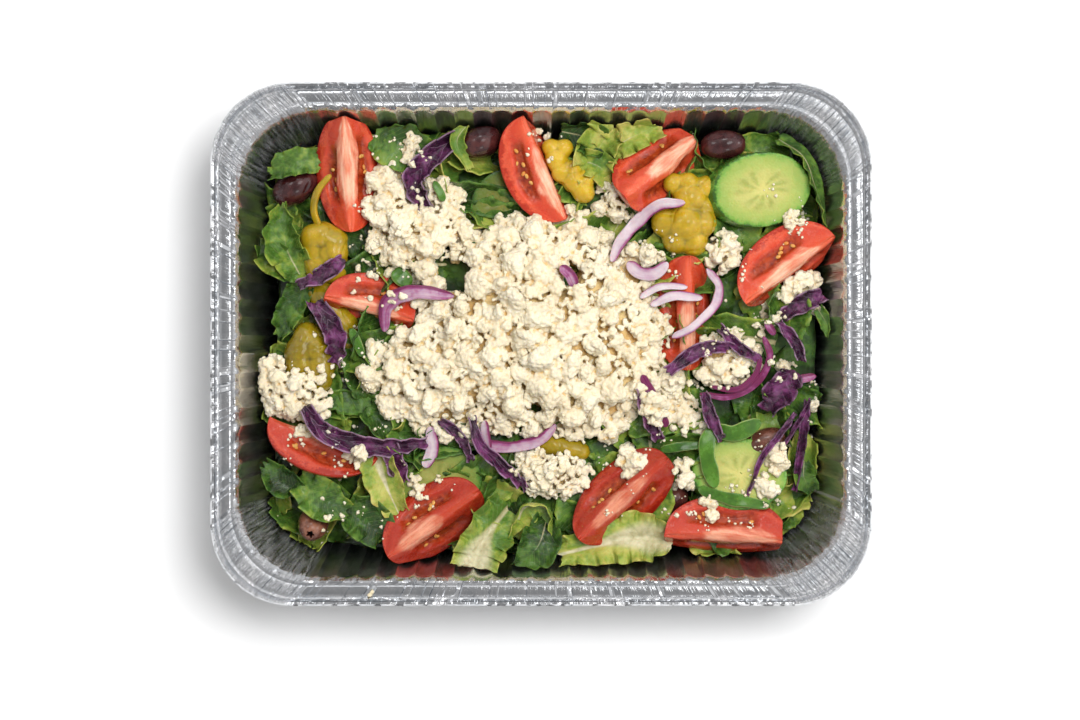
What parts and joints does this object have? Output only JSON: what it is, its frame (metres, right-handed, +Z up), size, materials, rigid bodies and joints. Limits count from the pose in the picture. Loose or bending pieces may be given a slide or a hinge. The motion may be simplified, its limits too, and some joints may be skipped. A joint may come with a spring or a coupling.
{
  "type": "greek salad in a foil tray",
  "caption": "Greek salad heaped in a fluted foil tray: romaine with tomato wedges, cucumber, pickled peppers, olives, onion, red cabbage and crumbled cheese.",
  "frame": {"origin": "middle of the tray's flat underside", "axes": "+X along the tray's length, +Y along its width, +Z up out of the tray's opening"},
  "size_m": [0.324, 0.2566, 0.067],
  "materials": {
    "foil": "thin bright foil, fluted and creased",
    "romaine": "waxy wet leaf",
    "tomato": "wet cut flesh and glossy skin",
    "cucumber": "wet cut flesh with a dark green rim",
    "olive": "oily smooth skin",
    "pickled_pepper": "glossy wrinkled skin",
    "red_onion": "moist pale slice with a magenta edge",
    "red_cabbage": "crisp purple shred with pale veins",
    "green_pepper": "glossy skin and pale flesh",
    "cheese": "crumbly matt curd"
  },
  "bodies": {
    "root": {"foil_tray": "foil", "foil_rim": "foil", "red_onion_1": "red_onion", "red_onion_2": "red_onion", "red_onion_3": "red_onion", "red_onion_4": "red_onion", "red_onion_5": "red_onion", "red_onion_6": "red_onion", "red_onion_7": "red_onion", "red_onion_8": "red_onion", "red_onion_9": "red_onion", "red_cabbage_1": "red_cabbage", "red_cabbage_2": "red_cabbage", "red_cabbage_3": "red_cabbage", "red_cabbage_4": "red_cabbage", "red_cabbage_5": "red_cabbage", "red_cabbage_6": "red_cabbage", "red_cabbage_7": "red_cabbage", "red_cabbage_8": "red_cabbage", "green_pepper_1": "green_pepper", "green_pepper_2": "green_pepper", "green_pepper_3": "green_pepper", "pepper_ring": "pickled_pepper", "tomato_wedge_1": "tomato", "tomato_wedge_2": "tomato", "tomato_wedge_3": "tomato", "tomato_wedge_4": "tomato", "tomato_wedge_5": "tomato", "tomato_wedge_6": "tomato", "tomato_wedge_7": "tomato", "tomato_wedge_8": "tomato", "tomato_wedge_9": "tomato", "tomato_wedge_10": "tomato", "pickled_pepper_1": "pickled_pepper", "pickled_pepper_2": "pickled_pepper", "pickled_pepper_3": "pickled_pepper", "pickled_pepper_4": "pickled_pepper", "pickled_pepper_5": "pickled_pepper", "pickled_pepper_6": "pickled_pepper", "olive_1": "olive", "olive_2": "olive", "olive_3": "olive", "olive_4": "olive", "olive_5": "olive", "olive_6": "olive", "olive_7": "olive", "cucumber_slice_1": "cucumber", "cucumber_slice_2": "cucumber", "cucumber_slice_3": "cucumber", "cucumber_slice_4": "cucumber", "cucumber_slice_5": "cucumber", "crumbled_cheese_1": "cheese", "crumbled_cheese_2": "cheese", "crumbled_cheese_3": "cheese", "crumbled_cheese_4": "cheese", "crumbled_cheese_5": "cheese", "crumbled_cheese_6": "cheese", "crumbled_cheese_7": "cheese", "crumbled_cheese_8": "cheese", "romaine_heap": "romaine"}
  },
  "joints": []
}
